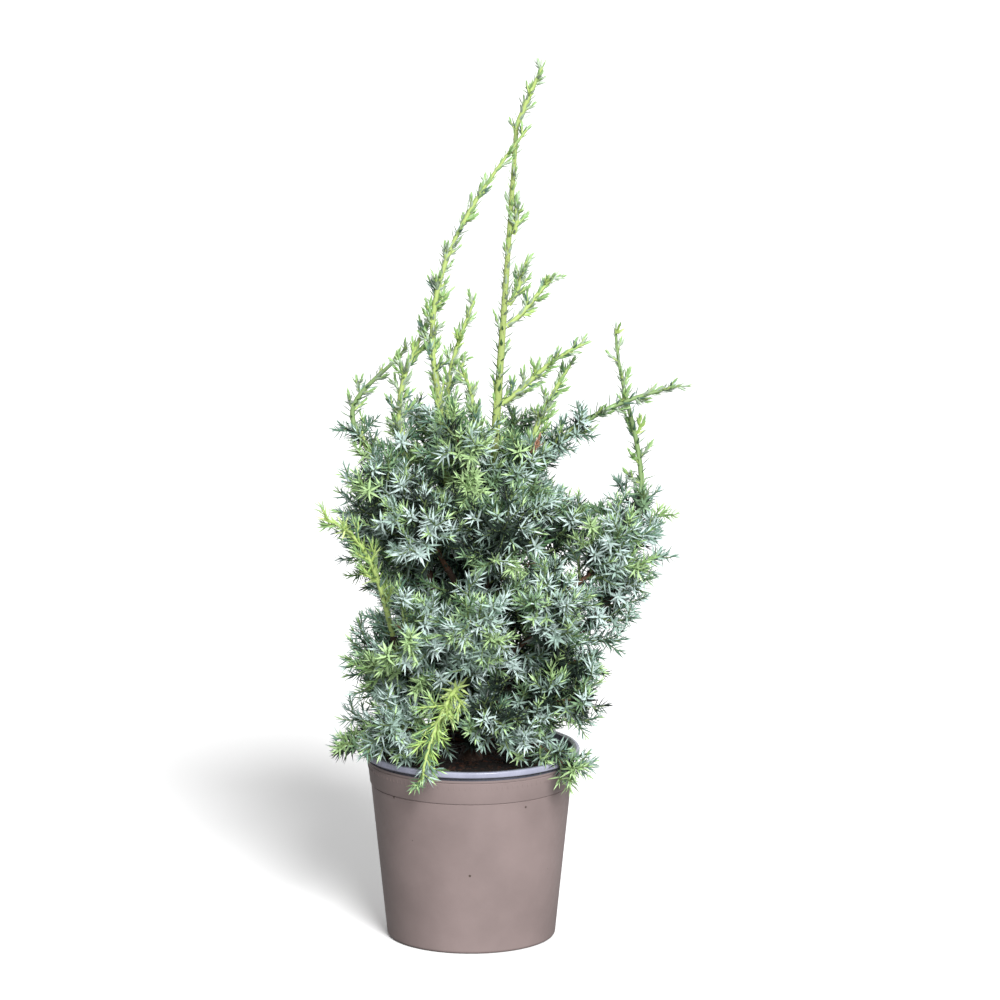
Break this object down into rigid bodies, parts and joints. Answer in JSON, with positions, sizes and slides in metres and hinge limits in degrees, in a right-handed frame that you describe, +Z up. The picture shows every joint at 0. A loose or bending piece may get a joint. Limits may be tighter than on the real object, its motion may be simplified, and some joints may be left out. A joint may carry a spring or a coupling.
{
  "type": "potted juniper",
  "caption": "Young evergreen juniper with upright leaders and a dense blue-green needle crown, standing in a round tapered nursery pot.",
  "frame": {"origin": "middle of the pot's flat underside, on the surface that it stands on", "axes": "+Z up along the plant's height, -Y towards the viewer of the picture, +X to the viewer's right"},
  "size_m": [0.2278, 0.1959, 0.5321],
  "materials": {
    "pot": "satin",
    "soil": "matte",
    "bark": "matte",
    "needles": "matte",
    "young_shoots": "matte"
  },
  "bodies": {
    "root": {"bough_back_left": "bark", "bough_back_right": "bark", "bough_back_upper": "bark", "bough_front_drooping": "bark", "bough_front_upper": "bark", "bough_left_front": "bark", "bough_left_leader": "bark", "bough_left_low_shoot": "bark", "bough_left_slender": "bark", "bough_left_upper": "bark", "bough_left_upright": "bark", "bough_middle_left": "bark", "bough_middle_upright": "bark", "bough_right_cluster": "bark", "bough_right_fork": "bark", "bough_right_front": "bark", "bough_right_leader": "bark", "bough_right_long": "bark", "mass_arching": "young_shoots", "mass_back_left": "needles", "mass_back_middle": "needles", "mass_back_right": "needles", "mass_back_top": "needles", "mass_back_upper": "needles", "mass_front_drooping": "young_shoots", "mass_front_middle": "needles", "mass_front_top": "needles", "mass_front_upper": "needles", "mass_leader_side": "young_shoots", "mass_leader_steep": "young_shoots", "mass_leader_tip": "young_shoots", "mass_leader_tuft": "young_shoots", "mass_left_front": "needles", "mass_left_leader": "young_shoots", "mass_left_low_shoot": "young_shoots", "mass_left_lower": "needles", "mass_left_slender": "young_shoots", "mass_left_upper": "needles", "mass_left_upright": "young_shoots", "mass_low_back": "needles", "mass_low_back_left": "needles", "mass_low_back_right": "needles", "mass_low_front": "needles", "mass_low_left_front": "needles", "mass_low_right": "needles", "mass_middle_left": "needles", "mass_middle_upright": "young_shoots", "mass_right_cluster": "needles", "mass_right_fork": "young_shoots", "mass_right_front": "needles", "mass_right_leader": "young_shoots", "mass_right_long": "young_shoots", "mass_right_lower": "needles", "mass_right_top": "needles", "mass_right_upper": "young_shoots", "mass_rim_left": "needles", "mass_rim_right": "needles", "pot": "pot", "soil": "soil", "trunk": "bark"}
  },
  "joints": []
}
